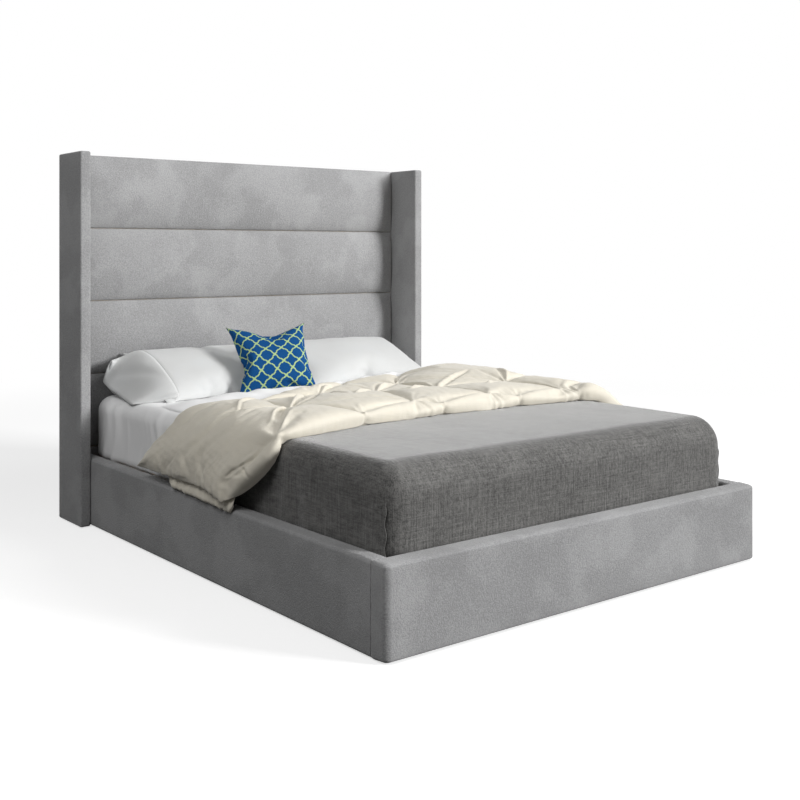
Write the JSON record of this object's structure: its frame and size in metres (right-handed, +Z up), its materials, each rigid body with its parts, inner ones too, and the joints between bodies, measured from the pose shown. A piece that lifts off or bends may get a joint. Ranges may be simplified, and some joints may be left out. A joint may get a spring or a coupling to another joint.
{
  "type": "upholstered bed",
  "caption": "King-size wingback bed with a horizontally channelled headboard, padded rails to the floor, slatted base, mattress, blanket, tufted comforter, pillows and cushion.",
  "frame": {"origin": "on the floor, at the centre of the bed's footprint", "axes": "+Y from the foot panel to the headboard, +Z up, +X to the left of someone lying on their back with the head at the headboard"},
  "size_m": [1.743, 2.136, 1.49],
  "materials": {
    "grey_upholstery": "matte",
    "pine": "matte",
    "plywood": "matte",
    "bracket_steel": "satin",
    "zinc_fasteners": "satin",
    "black_plastic": "matte",
    "dust_cloth": "matte",
    "mattress_ticking": "matte",
    "white_cotton": "matte",
    "grey_blanket": "matte",
    "ivory_comforter": "satin",
    "blue_trellis_cloth": "matte"
  },
  "bodies": {
    "root": {"headboard_post_left": "pine", "wing_core_left": "pine", "wing_cover_left": "grey_upholstery", "side_rail_board_left": "plywood", "side_rail_cover_left": "grey_upholstery", "side_cleat_left": "pine", "pillow_left": "white_cotton", "headboard_post_right": "pine", "wing_core_right": "pine", "wing_cover_right": "grey_upholstery", "side_rail_board_right": "plywood", "side_rail_cover_right": "grey_upholstery", "side_cleat_right": "pine", "pillow_right": "white_cotton", "headboard_top_batten": "pine", "headboard_middle_batten": "pine", "headboard_bottom_batten": "pine", "headboard_panel": "plywood", "headboard_back_cloth": "dust_cloth", "headboard_channel_1": "grey_upholstery", "headboard_channel_2": "grey_upholstery", "headboard_channel_3": "grey_upholstery", "headboard_channel_4": "grey_upholstery", "headboard_lower_pad": "grey_upholstery", "wing_bolts": "zinc_fasteners", "foot_board": "plywood", "foot_cover": "grey_upholstery", "head_brackets": "bracket_steel", "foot_brackets": "bracket_steel", "corner_bolts": "zinc_fasteners", "slat_01": "pine", "slat_02": "pine", "slat_03": "pine", "slat_04": "pine", "slat_05": "pine", "slat_06": "pine", "slat_07": "pine", "slat_08": "pine", "slat_09": "pine", "slat_10": "pine", "slat_11": "pine", "slat_12": "pine", "slat_screws": "zinc_fasteners", "centre_rail": "pine", "centre_rail_hanger_foot": "bracket_steel", "centre_rail_hanger_head": "bracket_steel", "centre_leg_1": "bracket_steel", "centre_leg_2": "bracket_steel", "centre_leg_3": "bracket_steel", "leg_glides": "black_plastic", "floor_glides": "black_plastic", "mattress": "mattress_ticking", "fitted_sheet": "white_cotton", "top_sheet": "white_cotton", "blanket": "grey_blanket", "comforter": "ivory_comforter", "scatter_cushion": "blue_trellis_cloth"}
  },
  "joints": []
}
